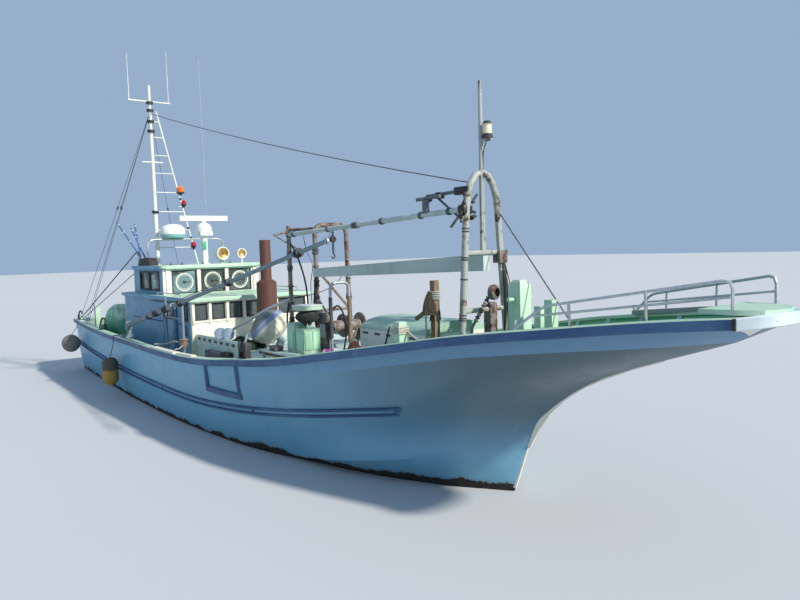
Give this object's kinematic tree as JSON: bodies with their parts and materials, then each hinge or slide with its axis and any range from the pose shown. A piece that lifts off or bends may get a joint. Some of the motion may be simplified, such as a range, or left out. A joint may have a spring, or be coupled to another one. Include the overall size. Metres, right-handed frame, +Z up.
{
  "type": "fishing trawler",
  "caption": "Small coastal fishing trawler: flared hull, long raked bow, low deckhouse with raised wheelhouse, masts, net hauler, winch and outrigger boom.",
  "frame": {"origin": "on the centreline at the waterline, midway along the waterline length", "axes": "+X to the bow, +Y to port, +Z up; starboard is the side that shows most in the picture"},
  "size_m": [19.84, 4.5577, 10.4],
  "materials": {
    "hull_blue": "painted fibreglass, weathered satin",
    "antifouling": "black bottom paint over fibreglass, fouled",
    "trim_blue": "painted fibreglass and rubber, scuffed",
    "mint": "satin paint, rust stained",
    "white": "satin paint, rust stained",
    "rusty_steel": "old paint with heavy rust",
    "grey_steel": "satin grey-blue paint, worn",
    "dark_steel": "oiled wire rope",
    "galvanised": "galvanised, dull",
    "bronze": "dull cast bronze",
    "plastic": "satin moulded plastic",
    "timber": "weathered timber and bamboo",
    "tarpaulin": "faded coated cloth",
    "rubber": "matt, worn"
  },
  "bodies": {
    "boat": {"hull": "hull_blue", "keel_skeg": "antifouling", "bulwark_starboard": "hull_blue", "bulwark_port": "hull_blue", "sheer_rail_starboard": "trim_blue", "sheer_rail_port": "trim_blue", "side_guard_starboard": "trim_blue", "side_guard_port": "trim_blue", "bow_platform": "white", "stern_bitts": "mint", "cabin_front": "white", "cabin_back": "white", "cabin_side_starboard": "white", "cabin_side_port": "white", "cabin_roof": "mint", "wheelhouse_front": "mint", "wheelhouse_back": "mint", "wheelhouse_side_starboard": "mint", "wheelhouse_side_port": "mint", "wheelhouse_roof": "mint", "engine_casing": "mint", "exhaust_stack": "rusty_steel", "hauler_stand": "grey_steel", "winch_stand": "grey_steel", "electric_cabinets": "mint", "aft_gantry": "rusty_steel", "upper_beam": "grey_steel", "net_beam": "grey_steel", "fore_frame": "rusty_steel", "fore_lantern": "white", "foredeck_trunk": "mint", "net_post": "timber", "mooring_posts": "mint", "bow_rail_starboard": "galvanised", "bow_rail_port": "galvanised", "boom_pedestal": "grey_steel", "boom_rest": "grey_steel", "main_mast": "white", "mast_ladder": "white", "roof_arch": "galvanised", "radome": "plastic", "radar_pedestal": "plastic", "hatch_coaming": "mint", "hauler_cover": "tarpaulin", "spar_bundle": "timber", "round_fender": "rubber", "long_fender": "rubber", "main_stay": "dark_steel"},
    "propeller": {"propeller": "bronze"},
    "rudder": {"rudder": "antifouling"},
    "door_starboard": {"cabin_door_starboard": "white"},
    "door_port": {"cabin_door_port": "white"},
    "winch_drum": {"winch_drum": "rusty_steel"},
    "hauler_drum": {"hauler_drum": "white"},
    "outrigger_boom": {"outrigger_boom": "grey_steel"},
    "radar_scanner": {"radar_scanner": "plastic"},
    "searchlight": {"searchlight": "white"},
    "hatch_lid": {"hatch_lid": "mint"}
  },
  "joints": [
    {"name": "propeller_spin", "type": "hinge", "parent": "boat", "child": "propeller", "pos_m": [-6.55, 0, -1.18], "axis": [1, 0, 0], "continuous": true},
    {"name": "rudder_turn", "type": "hinge", "parent": "boat", "child": "rudder", "pos_m": [-7.25, 0, -1.2], "axis": [0, 0, 1], "range_deg": [-35, 35]},
    {"name": "door_starboard_slide", "type": "slide", "parent": "boat", "child": "door_starboard", "axis": [-1, 0, 0], "range_m": [0, 0.7]},
    {"name": "door_port_slide", "type": "slide", "parent": "boat", "child": "door_port", "axis": [-1, 0, 0], "range_m": [0, 0.7]},
    {"name": "winch_spin", "type": "hinge", "parent": "boat", "child": "winch_drum", "pos_m": [3.15, 0.53, 1.86], "axis": [0, 1, 0], "continuous": true},
    {"name": "hauler_spin", "type": "hinge", "parent": "boat", "child": "hauler_drum", "pos_m": [2.52, -0.52, 1.69], "axis": [-0.45, -0.5, 0.74], "continuous": true},
    {"name": "boom_swing", "type": "hinge", "parent": "boat", "child": "outrigger_boom", "pos_m": [-2.07, -1.9, 1.74], "axis": [0, 0, -1], "range_deg": [0, 80]},
    {"name": "radar_spin", "type": "hinge", "parent": "boat", "child": "radar_scanner", "pos_m": [-1.95, -0.04, 4.1], "axis": [0, 0, 1], "continuous": true},
    {"name": "searchlight_pan", "type": "hinge", "parent": "boat", "child": "searchlight", "pos_m": [-1.7, 0.26, 3.2], "axis": [0, 0, 1], "range_deg": [-170, 170]},
    {"name": "hatch_lid_hinge", "type": "hinge", "parent": "boat", "child": "hatch_lid", "pos_m": [-5.335, 0, 1.175], "axis": [0, 1, 0], "range_deg": [0, 100]}
  ]
}
